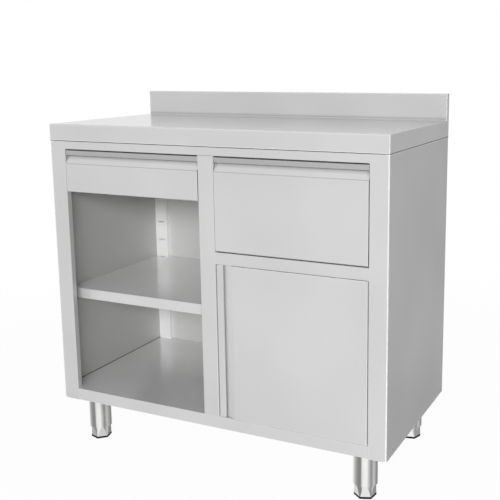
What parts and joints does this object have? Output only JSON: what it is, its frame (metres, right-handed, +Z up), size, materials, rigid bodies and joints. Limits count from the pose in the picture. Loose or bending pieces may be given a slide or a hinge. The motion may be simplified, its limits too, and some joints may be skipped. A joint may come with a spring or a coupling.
{
  "type": "coffee station table",
  "caption": "Free-standing steel coffee station with worktop and upstand, drawers with recessed pulls, an open shelf bay and a hinged door, on adjustable legs.",
  "frame": {"origin": "floor level under the middle of the table's footprint", "axes": "+X to the right of someone facing the front, +Y to the rear, +Z up"},
  "size_m": [1, 0.5, 1.01],
  "materials": {
    "satin_steel": "satin",
    "polished_steel": "polished",
    "zinc_plated_steel": "plated",
    "fastener_steel": "plain",
    "board": "raw chipboard",
    "nylon": "moulded",
    "catch_plastic": "moulded",
    "pad_rubber": "moulded"
  },
  "bodies": {
    "cabinet": {"worktop": "satin_steel", "left_side_panel": "satin_steel", "right_side_panel": "satin_steel", "back_panel": "satin_steel", "floor_panel": "satin_steel", "top_rail": "satin_steel", "cross_rail": "satin_steel", "centre_stile": "satin_steel", "centre_partition": "satin_steel", "front_left_upright": "satin_steel", "rear_left_upright": "satin_steel", "front_right_upright": "satin_steel", "rear_right_upright": "satin_steel", "left_drawer_left_bracket": "satin_steel", "left_drawer_right_bracket": "satin_steel", "right_drawer_left_bracket": "satin_steel", "right_drawer_right_bracket": "satin_steel", "left_leg_channel": "satin_steel", "right_leg_channel": "satin_steel", "left_drawer_outer_runners": "zinc_plated_steel", "right_drawer_outer_runners": "zinc_plated_steel", "worktop_board": "board", "worktop_bolts": "fastener_steel", "leg_bolts": "fastener_steel", "shelf_clips": "fastener_steel", "door_pins": "fastener_steel", "leg_sockets": "zinc_plated_steel", "leg_plugs": "nylon", "catch_magnet": "catch_plastic", "leg_tubes": "polished_steel"},
    "left_drawer": {"left_drawer_front": "satin_steel", "left_drawer_liner": "satin_steel", "left_drawer_box": "satin_steel", "left_drawer_inner_runners": "zinc_plated_steel"},
    "left_middle_runners": {"left_drawer_middle_runners": "zinc_plated_steel"},
    "right_drawer": {"right_drawer_front": "satin_steel", "right_drawer_liner": "satin_steel", "right_drawer_box": "satin_steel", "right_drawer_inner_runners": "zinc_plated_steel"},
    "right_middle_runners": {"right_drawer_middle_runners": "zinc_plated_steel"},
    "door": {"door_skin": "satin_steel", "door_liner": "satin_steel", "door_bushes": "nylon", "strike_plate": "zinc_plated_steel"},
    "shelf": {"shelf": "satin_steel", "shelf_stiffener": "satin_steel"},
    "front_left_foot": {"front_left_foot": "polished_steel", "front_left_pad": "pad_rubber"},
    "front_right_foot": {"front_right_foot": "polished_steel", "front_right_pad": "pad_rubber"},
    "rear_left_foot": {"rear_left_foot": "polished_steel", "rear_left_pad": "pad_rubber"},
    "rear_right_foot": {"rear_right_foot": "polished_steel", "rear_right_pad": "pad_rubber"}
  },
  "joints": [
    {"name": "left_drawer_slide", "type": "slide", "parent": "cabinet", "child": "left_drawer", "axis": [0, -1, 0], "range_m": [0, 0.4]},
    {"name": "left_runner_slide", "type": "slide", "parent": "cabinet", "child": "left_middle_runners", "axis": [0, -1, 0], "range_m": [0, 0.2]},
    {"name": "right_drawer_slide", "type": "slide", "parent": "cabinet", "child": "right_drawer", "axis": [0, -1, 0], "range_m": [0, 0.4]},
    {"name": "right_runner_slide", "type": "slide", "parent": "cabinet", "child": "right_middle_runners", "axis": [0, -1, 0], "range_m": [0, 0.2]},
    {"name": "door_hinge", "type": "hinge", "parent": "cabinet", "child": "door", "pos_m": [0.4125, -0.2405, 0.374], "axis": [0, 0, 1], "range_deg": [0, 110]},
    {"name": "shelf_lift", "type": "slide", "parent": "cabinet", "child": "shelf", "axis": [0, 0, 1], "range_m": [0, 0.12]},
    {"name": "front_left_foot_screw", "type": "slide", "parent": "cabinet", "child": "front_left_foot", "axis": [0, 0, -1], "range_m": [0, 0.03]},
    {"name": "front_right_foot_screw", "type": "slide", "parent": "cabinet", "child": "front_right_foot", "axis": [0, 0, -1], "range_m": [0, 0.03]},
    {"name": "rear_left_foot_screw", "type": "slide", "parent": "cabinet", "child": "rear_left_foot", "axis": [0, 0, -1], "range_m": [0, 0.03]},
    {"name": "rear_right_foot_screw", "type": "slide", "parent": "cabinet", "child": "rear_right_foot", "axis": [0, 0, -1], "range_m": [0, 0.03]}
  ],
  "couplings": [
    {"joint": "left_runner_slide", "follows": "left_drawer_slide", "ratio": 0.5},
    {"joint": "right_runner_slide", "follows": "right_drawer_slide", "ratio": 0.5}
  ]
}
